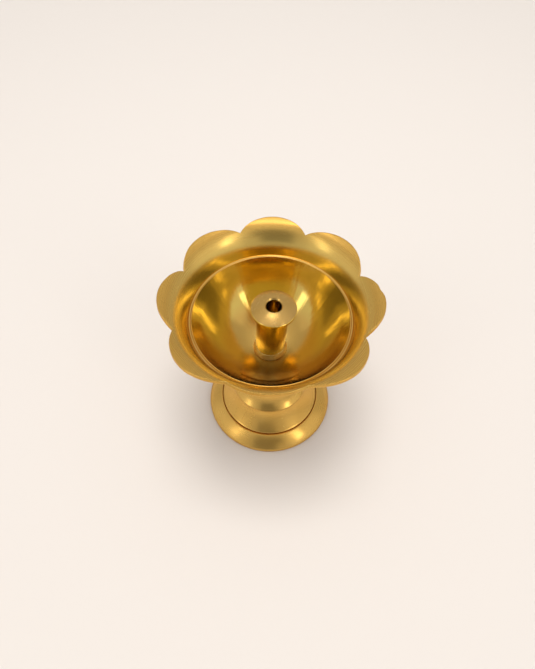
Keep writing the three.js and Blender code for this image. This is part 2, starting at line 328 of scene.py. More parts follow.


# brass turned on a lathe: rings across its profile, smears round it and uneven polish, with painted shade
# and painted reflection where a finish asks for them
def turnedBrass(name, look):
    material, tree, shader = newMaterial(name)
    rings, radius = turningVector(tree, look["ringScale"], look["ringWander"])
    ringNoise = noiseIn(tree, rings, 1.0, 4.0, 0.6)
    patches = noiseIn(tree, objectCoordinates(tree), look["patchScale"], 3.0, 0.55, 0.4)
    smears = noiseIn(tree, turningVector(tree, 180, 2.2)[0], 1.0, 2.0, 0.5)
    tone = mixedColour(
        tree, ranged(tree, patches, 0.3, 0.7, 0.0, 1.0), look["toneA"], look["toneB"])
    if look.get("stain"):
        blots = noiseIn(tree, objectCoordinates(tree), 260, 5.0, 0.65)
        mask = ranged(tree, blots, 0.56, 0.72, 0.0, look["stain"])
        tone = mixedColour(tree, mask, tone, brassTones["tarnish"])
    # painted reflection and shade: another tone towards the axis, paler on the petals near the lip, darker
    # on the bowl's floor
    if look.get("paintedCentreTone"):
        centre, full, gone = look["paintedCentreTone"]
        tone = mixedColour(tree, ranged(tree, radius, full * mm, gone * mm, 1.0, 0.0), tone, centre)
    work = sumsIn(tree)
    if look.get("paintedPostShade"):
        # painted shade: the post's dark reflection, darkest a little in front of the post and fading
        # outwards
        clean, dark, strength, forward = look["paintedPostShade"]
        uneven = 1.5 * mm
        edge = noiseIn(tree, objectCoordinates(tree), 120, 3.0, 0.6)
        wander = ranged(tree, edge, 0.3, 0.7, -uneven, uneven)
        split = tree.nodes.new("ShaderNodeSeparateXYZ")
        tree.links.new(objectCoordinates(tree), split.inputs[0])
        aside = split.outputs[0]
        ahead = work("ADD", split.outputs[1], forward * mm)
        away = work("SQRT", work("ADD", work("MULTIPLY", aside, aside), work("MULTIPLY", ahead, ahead)))
        postShadeMask = ranged(tree, work("ADD", away, wander), dark * mm, clean * mm, strength, 0.0)
        tone = mixedColour(tree, postShadeMask, tone, brassTones["paintedPostShade"])
    tree.links.new(tone, shader.inputs["Base Color"])
    shader.inputs["Metallic"].default_value = 1.0
    base = ranged(tree, smears, 0.3, 0.7, look["roughLow"], look["roughHigh"])
    if look.get("polishBelow"):
        start, end, rough = look["polishBelow"]
        base = work("ADD", base, ranged(tree, radius, start * mm, end * mm, rough, 0.0))
    fine = ranged(tree, ringNoise, 0.3, 0.7, -look["ringRough"], look["ringRough"])
    tree.links.new(work("ADD", base, fine, clamp=True), shader.inputs["Roughness"])
    if look.get("anisotropy"):
        shader.inputs["Anisotropic"].default_value = look["anisotropy"]
        shader.inputs["Anisotropic Rotation"].default_value = 0.25
        tangent = tree.nodes.new("ShaderNodeTangent")
        tangent.direction_type = "RADIAL"
        tangent.axis = "Z"
        tree.links.new(tangent.outputs[0], shader.inputs["Tangent"])
    waves = noiseIn(tree, objectCoordinates(tree), look["waveScale"], 2.0, 0.5)
    marks = [(waves, look["waveStrength"], 0.3), (ringNoise, look["ringStrength"], 0.02)]
    if look.get("spokes"):
        # polishing strokes that run from the lip down to the floor
        strokes = noiseIn(tree, turningVector(tree, 14, 7.0)[0], 1.0, 3.0, 0.55)
        marks.append((strokes, look["spokes"], 0.25))
    bumped(tree, shader, marks)
    return material


finishes = {
    "petals": {
        "toneA": brassTones["clean"], "toneB": brassTones["worn"], "patchScale": 55,
        "ringScale": 5200, "ringWander": 3.0, "ringRough": 0.03, "ringStrength": 0.25,
        "roughLow": 0.24, "roughHigh": 0.3, "polishBelow": (28.6, 31.5, -0.14),
        "waveScale": 90, "waveStrength": 0.06, "anisotropy": 0.35, "stain": 0.1,
        # painted reflection: a paler, yellower tone on the petals near the lip
        "paintedCentreTone": ((0.76, 0.53, 0.145, 1), 29.5, 34.0),
    },
    "bowlInside": {
        "toneA": brassTones["inner"], "toneB": (0.67, 0.465, 0.115, 1), "patchScale": 55,
        "ringScale": 5200, "ringWander": 3.0, "ringRough": 0.02, "ringStrength": 0.15,
        "roughLow": 0.08, "roughHigh": 0.13, "polishBelow": (8.0, 17.0, 0.14),
        # painted shade: the post's dark reflection on the bowl's floor, centred in front of the post
        "paintedPostShade": (12.0, 4.0, 0.9, 9.5),
        "waveScale": 90, "waveStrength": 0.05, "stain": 0.1, "spokes": 0.2,
        # painted shade: a darker tone towards the bowl's floor
        "paintedCentreTone": ((0.64, 0.395, 0.1, 1), 15.0, 18.5),
    },
    "lip": {
        "toneA": brassTones["clean"], "toneB": brassTones["pale"], "patchScale": 70,
        "ringScale": 5200, "ringWander": 3.0, "ringRough": 0.02, "ringStrength": 0.1,
        "roughLow": 0.12, "roughHigh": 0.2, "waveScale": 90, "waveStrength": 0.05,
    },
    "bowlOutside": {
        "toneA": brassTones["clean"], "toneB": brassTones["deep"], "patchScale": 70,
        "ringScale": 4200, "ringWander": 3.0, "ringRough": 0.04, "ringStrength": 0.35,
        "roughLow": 0.24, "roughHigh": 0.34, "waveScale": 80, "waveStrength": 0.08,
        "anisotropy": 0.3, "stain": 0.15,
    },
    "pedestal": {
        "toneA": (0.70, 0.42, 0.105, 1), "toneB": brassTones["worn"], "patchScale": 60,
        "ringScale": 5200, "ringWander": 3.0, "ringRough": 0.03, "ringStrength": 0.3,
        "roughLow": 0.2, "roughHigh": 0.3, "waveScale": 90, "waveStrength": 0.06,
        "anisotropy": 0.35, "stain": 0.12,
    },
    "postHead": {
        "toneA": (0.66, 0.405, 0.125, 1), "toneB": (0.62, 0.375, 0.1, 1), "patchScale": 120,
        "ringScale": 9000, "ringWander": 1.2, "ringRough": 0.05, "ringStrength": 0.5,
        "roughLow": 0.2, "roughHigh": 0.26, "waveScale": 200, "waveStrength": 0.03,
        "anisotropy": 0.85,
    },
    "postSide": {
        "toneA": (0.93, 0.71, 0.17, 1), "toneB": (0.86, 0.62, 0.13, 1), "patchScale": 150,
        "ringScale": 6000, "ringWander": 2.0, "ringRough": 0.03, "ringStrength": 0.3,
        "roughLow": 0.1, "roughHigh": 0.2, "waveScale": 250, "waveStrength": 0.08,
        "stain": 0.3,
    },
    "collar": {
        "toneA": brassTones["solder"], "toneB": brassTones["pale"], "patchScale": 300,
        "ringScale": 1500, "ringWander": 8.0, "ringRough": 0.08, "ringStrength": 0.6,
        "roughLow": 0.32, "roughHigh": 0.5, "waveScale": 900, "waveStrength": 0.7,
        "stain": 0.3,
    },
    "fasteners": {
        "toneA": brassTones["clean"], "toneB": brassTones["deep"], "patchScale": 200,
        "ringScale": 7000, "ringWander": 2.0, "ringRough": 0.05, "ringStrength": 0.3,
        "roughLow": 0.28, "roughHigh": 0.4, "waveScale": 300, "waveStrength": 0.1,
        "stain": 0.35,
    },
    "hollow": {
        "toneA": brassTones["deep"], "toneB": (0.45, 0.24, 0.05, 1), "patchScale": 180,
        "ringScale": 2600, "ringWander": 4.0, "ringRough": 0.06, "ringStrength": 0.6,
        "roughLow": 0.4, "roughHigh": 0.55, "waveScale": 320, "waveStrength": 0.35,
        "stain": 0.6,
    },
}
materials = {name: turnedBrass(name + "Brass", look) for name, look in finishes.items()}
print("materials made", len(materials))


# Pedestal

footSizes = {
    "radius": 25.0, "rimHeight": 1.3, "rimWall": 2.2,
    "grooveRadius": 19.4, "grooveHeight": 5.2, "grooveDepth": 0.4,
    "stepRadius": 14.45, "stepHeight": 14.9, "stepEdge": 0.6, "undercut": 1.35,
    "coveToe": 6.0, "coveSpread": 0.3,
    "neckRadius": 8.2, "neckBelowTop": 8.0,
    "crownRadius": 9.2, "crownBand": 2.6, "crownThickness": 4.6, "hole": 3.3,
    "wall": 2.4, "neckWall": 1.5, "segments": 288,
}


def makePedestal(s):
    r, groove, step, neck = s["radius"], s["grooveRadius"], s["stepRadius"], s["neckRadius"]
    gz, sz, top = s["grooveHeight"], s["stepHeight"], crownTop
    neckZ = top - s["neckBelowTop"]
    flange = curvePoints(
        (r - 0.25, s["rimHeight"] + 0.2),
        ((r + groove) / 2 + 0.3, (s["rimHeight"] + gz) / 2 + 0.7),
        (groove + 0.5, gz), 14)
    cove = curvePoints(
        (groove - 0.45, gz + 0.2), (step - s["undercut"] + s["coveSpread"], gz + s["coveToe"]),
        (step - s["undercut"], sz - s["stepEdge"]), 22)
    flare = curvePoints((step - 0.2, sz + 0.2), (neck + 1.2, sz + 3.2), (neck, neckZ), 24)
    outline = roundedOutline(
        [(r - 0.3, 0, 0.15), (r, 0.3, 0.2), (r, s["rimHeight"] - 0.2, 0.3)]
        + flange
        + [(groove + 0.15, gz, 0.12), (groove, gz - s["grooveDepth"], 0.1), (groove - 0.2, gz + 0.1, 0.1)]
        + cove
        + [(step, sz - s["stepEdge"] * 0.7, 0.12), (step, sz, 0.15)]
        + flare
        + [
            (neck, top - s["crownBand"] - 2.2, 0.5),
            (neck + 0.25, top - s["crownBand"] - 1.2, 0.6),
            (s["crownRadius"] - 0.3, top - s["crownBand"] - 0.3, 0.3),
            (s["crownRadius"], top - s["crownBand"], 0.2),
            (s["crownRadius"], top - 0.4, 0.2),
            (s["crownRadius"] - 0.4, top, 0.15),
            (s["hole"], top, 0.1),
            (s["hole"], top - s["crownThickness"], 0.1),
            (neck - s["neckWall"], top - s["crownThickness"], 0.5),
            (neck - s["neckWall"], neckZ - 2, 1.5),
            (neck + 0.3, sz + 3.4, 1.5),
            (step - s["wall"] - 1.0, sz - 0.6, 1.5),
            (step - s["wall"] + 0.1, gz + 4.2, 2.0),
            (step + 0.6, gz - 0.2, 2.0),
            (groove - 0.8, gz - s["wall"], 2.0),
            (r - s["rimWall"], 0.9, 0.5),
            (r - s["rimWall"], 0, 0.15),
        ])
    piece = turnedObject("pedestal_turned", evenOutline(outline), s["segments"])
    finishMesh(piece.data)
    piece.data.materials.append(materials["pedestal"])
    piece.data.materials.append(materials["hollow"])
    for face in piece.data.polygons:
        inward = face.normal.x * face.center.x + face.normal.y * face.center.y < -1e-6
        within = math.hypot(face.center.x, face.center.y) < (r - s["rimWall"] + 0.2) * mm
        if within and (inward or face.normal.z < -0.4) and face.center.z < (top - 1) * mm:
            face.material_index = 1
    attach(piece, "lamp_body")
    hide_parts("pedestal")
    return piece


makePedestal(footSizes)
print("pedestal made")


# Bowl and petals

bowlSizes = {
    "floorThickness": 2.6, "floorRadius": 6.3, "floorRound": 6.2, "floorSlope": 6.5,
    "depth": 18.9, "lipRadius": 26.7,
    "wallSlope": 60, "wallStraight": 4.0, "bendShare": 0.537,
    "wall": 2.3, "outsideBelowLip": 5, "bossRadius": 9.7, "bossFillet": 0.6, "hole": 3.3,
    "beadWidth": 0.34, "beadHeight": 0.13, "flangeGap": 0.61,
    "reach": 9.05, "rise": 10.0, "startSlope": 70.6, "endSlope": 11.3,
    "sheet": 1.35, "sheetEdge": 1.1, "edgeRounding": 0.22,
    "columnsPerPetal": 48, "flangeRows": 36,
}
# hand-filed petals: where each begins in degrees, its notch radius there and its tip radius
petals = [
    (22.96, 31.7, 36.8), (69.56, 32.3, 37.2), (111.46, 32.5, 36.7), (157.36, 32.1, 37.0),
    (201.66, 32.6, 37.25), (247.66, 32.7, 34.6), (291.36, 32.8, 37.45), (337.56, 31.8, 37.0),
]
floorHeight = bowlSeat + bowlSizes["floorThickness"]
lipHeight = floorHeight + bowlSizes["depth"]


# moves the flange of a turned blank in to its petals' edge, along the flange's own curve
def petalTree(s):
    start = s["lipRadius"] + s["beadWidth"] + s["flangeGap"]
    first, last = (math.tan(math.radians(s[label])) * s["reach"] for label in ("startSlope", "endSlope"))
    tree, group, output = newGeometryTree("petalCut", {
        "Flange start": start, "Reach": s["reach"], "Lip height": lipHeight,
        "Line": first, "Square": 3 * s["rise"] - 2 * first - last, "Cube": first + last - 2 * s["rise"],
        "Sheet": s["sheet"], "Sheet edge": s["sheetEdge"], "File marks": 0.05,
        "Dent angle": 8.0, "Dent depth": 0.45, "Nick angle": 158.5, "Nick depth": 0.3,
    })
    value = group.outputs
    work = sumsIn(tree)
    angle, _, _ = cylinderPlace(tree, work)
    share, side = namedFloat(tree, "flangeShare"), namedFloat(tree, "flangeSide")
    half, around = namedFloat(tree, "petalHalf"), namedFloat(tree, "petalAround")
    tip, notch = namedFloat(tree, "petalTip"), namedFloat(tree, "petalNotch")
    # each petal's edge is a round arc from notch to notch
    bulge = work("SUBTRACT", tip, work("MULTIPLY", notch, work("COSINE", half)))
    width = work("MULTIPLY", notch, work("SINE", half))
    arc = work(
        "DIVIDE", work("ADD", work("MULTIPLY", width, width), work("MULTIPLY", bulge, bulge)),
        work("MULTIPLY", bulge, 2))
    centre = work("SUBTRACT", tip, arc)
    across = work("MULTIPLY", centre, work("SINE", around))
    edge = work(
        "ADD", work("MULTIPLY", centre, work("COSINE", around)),
        work("SQRT", work("SUBTRACT", work("MULTIPLY", arc, arc), work("MULTIPLY", across, across))))
    # the file leaves the edge a little wavy, with a shallow dent and a nick
    circle = tree.nodes.new("ShaderNodeCombineXYZ")
    tree.links.new(work("COSINE", angle), circle.inputs[0])
    tree.links.new(work("SINE", angle), circle.inputs[1])
    filed = tree.nodes.new("ShaderNodeTexNoise")
    tree.links.new(circle.outputs[0], filed.inputs["Vector"])
    filed.inputs["Scale"].default_value = 9.0
    filed.inputs["Detail"].default_value = 4.0
    wave = work(
        "MULTIPLY", work("SUBTRACT", filed.outputs["Fac"], 0.5), work("MULTIPLY", value["File marks"], 4))
    edge = work("ADD", edge, wave)
    for label, sharpness in (("Dent", -500), ("Nick", -4000)):
        away = work("SUBTRACT", angle, work("RADIANS", value[label + " angle"]))
        hollow = work("EXPONENT", work("MULTIPLY", work("MULTIPLY", away, away), sharpness))
        edge = work("SUBTRACT", edge, work("MULTIPLY", value[label + " depth"], hollow))
    start = value["Flange start"]
    radius = work("ADD", start, work("MULTIPLY", share, work("SUBTRACT", edge, start)))
    out = work("DIVIDE", work("SUBTRACT", radius, value["Flange start"]), value["Reach"])
    bend = work("ADD", value["Square"], work("MULTIPLY", out, value["Cube"]))
    height = work(
        "ADD", value["Lip height"],
        work("MULTIPLY", out, work("ADD", value["Line"], work("MULTIPLY", out, bend))))
    rate = work(
        "ADD", value["Line"],
        work("MULTIPLY", out,
             work("ADD", work("MULTIPLY", value["Square"], 2),
                  work("MULTIPLY", work("MULTIPLY", value["Cube"], 3), out))))
    lean = work("ARCTANGENT", work("DIVIDE", rate, value["Reach"]))
    thinning = work("SUBTRACT", value["Sheet edge"], value["Sheet"])
    thickness = work("ADD", value["Sheet"], work("MULTIPLY", thinning, share))
    sheet = work("MULTIPLY", side, thickness)
    finalRadius = work("ADD", radius, work("MULTIPLY", sheet, work("SINE", lean)))
    finalHeight = work("SUBTRACT", height, work("MULTIPLY", sheet, work("COSINE", lean)))
    onFlange = work("GREATER_THAN", share, -0.5)
    moved = placeAt(tree, work, value["Geometry"], finalRadius, angle, finalHeight, onFlange)
    closeTree(tree, moved, group, output)
    return tree


# a column of vertices for each step round a petal, with the petal's sizes beside its angle
def petalColumns(count):
    angles, sizes = [], []
    for i, (begin, notch, tip) in enumerate(petals):
        end, nextNotch, _ = petals[(i + 1) % len(petals)]
        end += 360 if end < begin else 0
        half = math.radians(end - begin) / 2
        for k in range(count):
            place = k / count
            angles.append(math.radians(begin) + 2 * half * place)
            sizes.append((half, half * (2 * place - 1), tip, notch + (nextNotch - notch) * place))
    return np.array(angles), np.array(sizes)


def offsetLine(points, distance):
    line = np.array(points)
    along = np.gradient(line, axis=0)
    along /= np.linalg.norm(along, axis=1)[:, None]
    return [(p[0] + a[1] * distance, p[1] - a[0] * distance) for p, a in zip(line, along)]


def makeBowl(s):
    lip = s["lipRadius"]
    lean = math.tan(math.radians(s["wallSlope"]))
    drop = s["wallStraight"]
    bend = (s["depth"] - drop) * s["bendShare"]
    corner = (lip - drop / lean, lipHeight - drop)
    rising = s["floorRound"] * math.tan(math.radians(s["floorSlope"]))
    wall = cubicPoints(
        (s["floorRadius"], floorHeight), (s["floorRadius"] + s["floorRound"], floorHeight + rising),
        (corner[0] - bend / lean, corner[1] - bend), corner, 44)
    wall += [(corner[0] + (lip - corner[0]) * t, corner[1] + drop * t) for t in np.linspace(0, 1, 11)[1:]]
    bead = roundedOutline([
        (lip - 0.02, lipHeight - 0.03), (lip + s["beadWidth"] * 0.2, lipHeight + s["beadHeight"], 0.1),
        (lip + s["beadWidth"] * 0.8, lipHeight + s["beadHeight"], 0.1),
        (lip + s["beadWidth"] + s["flangeGap"] * 0.4, lipHeight - 0.2, 0.1),
    ])[1:]
    outer = [
        p for p in offsetLine(wall, s["wall"])
        if p[0] > s["bossRadius"] + s["bossFillet"] and p[1] < lipHeight - s["outsideBelowLip"]]
    plain = []   # (radius, height, share, side)
    plain += [(s["hole"], bowlSeat, -1, 0), (s["hole"], floorHeight, -1, 0)]
    plain += [(r, floorHeight, -1, 0) for r in np.linspace(s["hole"] + 0.5, s["floorRadius"] - 0.3, 7)]
    plain += [(r, z, -1, 0) for r, z in wall]
    polished = len(plain)
    plain += [(r, z, -1, 0) for r, z in bead]
    inside = len(plain)
    rounding = s["edgeRounding"] / s["reach"]
    shares = list(np.linspace(0, 1 - rounding, s["flangeRows"]))
    flange = [(share, 0.0) for share in shares]
    for k in range(1, 5):
        turn = k / 5 * math.pi / 2
        flange.append((1 - rounding * (1 - math.sin(turn)), 0.17 * (1 - math.cos(turn))))
    upper = inside + len(flange)
    flange += [(1.0, 0.2), (1.0, 0.5), (1.0, 0.8)]
    for k in range(1, 5):
        turn = k / 5 * math.pi / 2
        flange.append((1 - rounding * (1 - math.cos(turn)), 1 - 0.17 * (1 - math.sin(turn))))
    flange += [(share, 1.0) for share in reversed(shares)]
    plain += [(lip, lipHeight, share, side) for share, side in flange]
    plain += [(r, z, -1, 0) for r, z in reversed(outer)]
    boss = s["bossRadius"]
    bossEdge = [(boss + 0.2, bowlSeat + 0.33), (boss, bowlSeat + 0.18), (boss - 0.2, bowlSeat)]
    plain += [(r, z, -1, 0) for r, z in bossEdge]
    plain += [(r, bowlSeat, -1, 0) for r in np.linspace(boss - 1.2, s["hole"] + 1, 4)]
    angles, petalSizes = petalColumns(s["columnsPerPetal"])
    columns = len(angles)
    piece = turnedObject("flower_bowl_turned", [p[:2] for p in plain], columns, angles=angles)
    mesh = piece.data
    rows = np.array(plain, float)
    values = {
        "flangeShare": np.repeat(rows[:, 2], columns), "flangeSide": np.repeat(rows[:, 3], columns),
        "petalHalf": np.tile(petalSizes[:, 0], len(rows)),
        "petalAround": np.tile(petalSizes[:, 1], len(rows)),
        "petalTip": np.tile(petalSizes[:, 2], len(rows)),
        "petalNotch": np.tile(petalSizes[:, 3], len(rows)),
    }
    for name, numbers in values.items():
        mesh.attributes.new(name, "FLOAT", "POINT").data.foreach_set("value", numbers)
    addNodes(piece, petalTree(s), {}, materials["bowlInside"])
    settle(piece)
    mesh = piece.data
    mesh.materials.append(materials["petals"])
    mesh.materials.append(materials["bowlOutside"])
    mesh.materials.append(materials["lip"])
    rowOf = np.arange(len(mesh.polygons)) // columns
    finish = np.where(rowOf < inside - 1, 0, np.where(rowOf < upper, 1, 2))
    finish = np.where((rowOf >= polished - 1) & (rowOf < inside), 3, finish)
    mesh.polygons.foreach_set("material_index", finish.astype(np.int32))
    for name in values:
        mesh.attributes.remove(mesh.attributes[name])
    finishMesh(mesh)
    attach(piece, "lamp_body")
    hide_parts("flower_bowl")
    return piece


makeBowl(bowlSizes)
print("bowl and petals made")


# Threads

threadSizes = {
    "Pitch": 1.0, "Major": 2.95, "Minor": 2.4, "Crest": 0.1, "Root": 0.36,
    "radialClearance": 0.2, "axialClearance": 0.08,
}


# raises a helical ridge on the vertices marked as threaded, and fades it out at both ends
def threadTree():
    tree, group, output = newGeometryTree("screwThread", {
        "Pitch": 1.0, "Major": 2.95, "Minor": 2.4, "Crest": 0.1, "Root": 0.36,
        "Bottom": 0.0, "Top": 1.0, "Lead in": 0.5,
    })
    value = group.outputs
    work = sumsIn(tree)
    angle, radius, height = cylinderPlace(tree, work)
    turn = work("DIVIDE", angle, 2 * math.pi)
    phase = work("FRACT", work("SUBTRACT", work("DIVIDE", height, value["Pitch"]), turn))
    fromRidge = work("ABSOLUTE", work("SUBTRACT", phase, 0.5))
    ridge = work(
        "DIVIDE", work("SUBTRACT", value["Root"], fromRidge),
        work("SUBTRACT", value["Root"], value["Crest"]), clamp=True)
    below, above = work("SUBTRACT", height, value["Bottom"]), work("SUBTRACT", value["Top"], height)
    fromEnd = work("MINIMUM", below, above)
    fade = work("DIVIDE", fromEnd, value["Lead in"], clamp=True)
    depth = work("SUBTRACT", value["Major"], value["Minor"])
    raised = work("MULTIPLY", depth, work("MULTIPLY", ridge, fade))
    threaded = work("GREATER_THAN", namedFloat(tree, "threaded"), 0.5)
    moved = placeAt(
        tree, work, value["Geometry"], work("ADD", value["Minor"], raised), angle, height, threaded)
    closeTree(tree, moved, group, output)
    return tree


screwThread = threadTree()


# turns an outline whose points (radius, height, threaded) say where the thread runs
def threadedObject(name, outline, segments, inner, bottom, top, material):
    piece = turnedObject(name, [p[:2] for p in outline], segments)
    attribute = piece.data.attributes.new("threaded", "FLOAT", "POINT")
    attribute.data.foreach_set("value", np.repeat([float(p[2]) for p in outline], segments))
    clearance = threadSizes["radialClearance"] if inner else 0
    widening = threadSizes["axialClearance"] if inner else 0
    addNodes(piece, screwThread, {
        "Pitch": threadSizes["Pitch"],
        "Major": threadSizes["Major"] + clearance, "Minor": threadSizes["Minor"] + clearance,
        "Crest": threadSizes["Crest"] + widening, "Root": threadSizes["Root"] + widening,
        "Bottom": bottom, "Top": top, "Lead in": 0.5,
    }, material)
    settle(piece)
    piece.data.attributes.remove(piece.data.attributes["threaded"])
    return piece


def threadRows(radius, low, high, upward):
    rows = max(4, round((high - low) / 0.09))
    heights = np.linspace(low, high, rows)
    return [(radius, z, 1) for z in (heights if upward else heights[::-1])]


# Wick holder

postSizes = {
    "radius": 5.35, "bore": 2.55, "chamfer": 0.45, "headRadius": 7.75, "headEdge": 1.0,
    "underside": 1.3, "dome": 1.5, "domeFullness": 0.78, "sleeveRadius": 5.62, "sleeveLength": 2.75,
    "lean": 0.047, "leanFrom": 1.5,
    "tapped": 4.6, "feedHole": 1.4, "feedAboveStud": 2.4, "segments": 192,
}


def makeWickHolder(s):
    headBase = postTop - s["dome"]
    under = headBase - s["headEdge"]
    sleeveTop = under - s["underside"]
    sleeveBase = sleeveTop - s["sleeveLength"]
    head, bore = s["headRadius"], s["bore"]
    rim = bore + s["chamfer"]
    dome = curvePoints(
        (head - 0.25, headBase + 0.05), ((head + rim) / 2, headBase + s["dome"] * s["domeFullness"]),
        (rim + 0.1, postTop), 16)
    corners = [
        (s["radius"], postBase, 0.25), (s["radius"], sleeveBase - 0.2, 0.05),
        (s["sleeveRadius"], sleeveBase, 0.12), (s["sleeveRadius"], sleeveTop, 0.5),
        (s["sleeveRadius"] + 0.5, under - 0.35, 0.4),
        (head - 0.1, under, 0.1), (head, under + 0.12, 0.1), (head, headBase - 0.1, 0.12),
    ] + dome + [(bore + 0.05, postTop - s["chamfer"] + 0.02, 0.12), (bore, postTop - s["chamfer"] - 0.4, 0)]
    plain = evenOutline(roundedOutline(corners), 0.5)
    tappedTop = postBase + s["tapped"]
    rows = [(r, z, 0) for r, z in plain]
    rows += [(bore, z, 0) for z in np.linspace(postTop - 1.4, tappedTop + 0.15, 24)]
    rows += threadRows(bore, postBase, tappedTop, upward=False)
    piece = threadedObject(
        "wick_holder_turned", rows, s["segments"], True, postBase - 1.0, tappedTop + 0.3,
        materials["postSide"])
    finishMesh(piece.data)
    cutter = bpy.data.meshes.new("feedHoleCutter")
    work = bmesh.new()
    reach = s["headRadius"] * mm
    middle = Matrix.Translation((0, reach / 2, (studTop + s["feedAboveStud"]) * mm))
    place = middle @ Matrix.Rotation(math.pi / 2, 4, "X")
    bmesh.ops.create_cone(
        work, cap_ends=True, segments=48, radius1=s["feedHole"] * mm, radius2=s["feedHole"] * mm,
        depth=reach, matrix=place)
    work.to_mesh(cutter)
    work.free()
    cutterObject = bpy.data.objects.new("feedHoleCutter", cutter)
    scene.collection.objects.link(cutterObject)
    cut = piece.modifiers.new("feedHole", "BOOLEAN")
    cut.object = cutterObject
    cut.operation = "DIFFERENCE"
    cut.solver = "EXACT"
    settle(piece)
    bpy.data.objects.remove(cutterObject)
    finishMesh(piece.data)
    mesh = piece.data
    # the post stands a little askew
    for vertex in mesh.vertices:
        above = vertex.co.z - (postBase + s["leanFrom"]) * mm
        vertex.co.x += s["lean"] * max(0, above)
    mesh.materials.append(materials["postHead"])
    for face in mesh.polygons:
        if face.center.z > (headBase - 0.05) * mm and face.normal.z > 0.3:
            face.material_index = 1
        else:
            face.material_index = 0
    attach(piece, "wick_post")
    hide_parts("wick_holder")
    return piece


makeWickHolder(postSizes)
print("wick holder made")


# Sealing collar

collarSizes = {"hole": 3.3, "topRadius": 5.35, "spread": 0.85, "segments": 240, "unevenness": 0.07}


def makeCollar(s):
    low, high = s["topRadius"], s["topRadius"] + s["spread"]
    outline = evenOutline(roundedOutline([
        (s["hole"], collarBase, 0), (high - 0.1, collarBase, 0.1), (high, collarBase + 0.4, 0.4),
        (low + s["spread"] * 0.45, collarTop - 0.9, 0.6), (low, collarTop, 0.12), (s["hole"], collarTop, 0),
    ]), 0.16)

    def pressed(radius, height, angles):
        outside = np.clip((radius - low + 0.1) / 0.5, 0, 1) * np.clip((height - collarBase) / 0.4, 0, 1)
        uneven = sum(
            np.sin(count * angles + 1.7 * count + height * 1.3) / count ** 0.7
            for count in (3, 5, 8, 13, 21, 34))
        return radius - s["unevenness"] * (0.6 + 0.4 * uneven) * outside, height

    piece = turnedObject("sealing_collar_pressed", outline, s["segments"], ripple=pressed)
    finishMesh(piece.data)
    piece.data.materials.append(materials["collar"])
    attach(piece, "collar")
    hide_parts("sealing_collar")
    return piece


makeCollar(collarSizes)
print("collar made")


# Stud, washer and nut

fastenerSizes = {
    "shank": 2.45, "segments": 96,
    "washerRadius": 6.0, "washerHole": 3.3, "acrossFlats": 10.0, "nutChamfer": 0.1,
}


def makeStud(s):
    minor = threadSizes["Minor"]
    lowerTop = washerTop + 1.2
    upperBottom = collarBase - 1.0
    rows = [(0, studBottom, 0), (1.2, studBottom, 0), (minor - 0.2, studBottom, 0)]
    rows += threadRows(minor, studBottom + 0.15, lowerTop, upward=True)
    rows += [(s["shank"], z, 0) for z in np.linspace(lowerTop + 0.1, upperBottom - 0.1, 12)]
    rows += threadRows(minor, upperBottom, studTop - 0.15, upward=True)
    rows += [(minor - 0.2, studTop, 0), (1.2, studTop, 0), (0, studTop, 0)]
    piece = threadedObject(
        "centre_stud_threaded", rows, s["segments"], False, studBottom + 0.1, studTop - 0.1,
        materials["fasteners"])
    finishMesh(piece.data)
    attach(piece, "lamp_body")
    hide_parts("centre_stud")
    return piece


def makeWasher(s):
    outline = evenOutline(roundedOutline([
        (s["washerHole"], washerBase, 0.1), (s["washerRadius"], washerBase, 0.25),
        (s["washerRadius"], washerTop, 0.25), (s["washerHole"], washerTop, 0.1),
    ]), 0.4)
    piece = turnedObject("stud_washer_turned", outline, s["segments"])
    finishMesh(piece.data)
    piece.data.materials.append(materials["fasteners"])
    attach(piece, "lamp_body")
    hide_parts("stud_washer")
    return piece


def makeNut(s):
    corner = s["acrossFlats"] / math.sqrt(3)
    face = s["acrossFlats"] / 2 - s["nutChamfer"]
    bevel = (corner - face) * math.tan(math.pi / 6)
    bore = threadSizes["Minor"] + threadSizes["radialClearance"]
    rows = [
        (bore + 0.3, nutBase, 0), (face, nutBase, 0), (corner, nutBase + bevel, 0),
        (corner, nutTop - bevel, 0), (face, nutTop, 0), (bore + 0.3, nutTop, 0),
    ]
    outside = evenOutline([p[:2] for p in rows], 0.25)
    rows = [(r, z, 0) for r, z in outside if r > bore + 0.25]
    rows += threadRows(bore, nutBase + 0.05, nutTop - 0.05, upward=False)
    segments = 192
    piece = threadedObject(
        "stud_nut_cut", rows, segments, True, nutBase, nutTop, materials["fasteners"])
    apothem = s["acrossFlats"] / 2 * mm
    for vertex in piece.data.vertices:
        radius = math.hypot(vertex.co.x, vertex.co.y)
        angle = math.atan2(vertex.co.y, vertex.co.x)
        sector = (angle + math.pi / 6) % (math.pi / 3) - math.pi / 6
        allowed = apothem / math.cos(sector)
        if radius > allowed:
            vertex.co.x *= allowed / radius
            vertex.co.y *= allowed / radius
    finishMesh(piece.data, 25)
    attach(piece, "lamp_body")
    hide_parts("stud_nut")
    return piece


makeStud(fastenerSizes)
makeWasher(fastenerSizes)
makeNut(fastenerSizes)
print("fasteners made")


# Camera

cameraSizes = {
    "pitchDegrees": 55.9, "rollDegrees": 0.62, "turnDegrees": 1.36, "distance": 181.3,
    "sideways": -1.06, "upward": -6.18, "lens": 28.9,
}


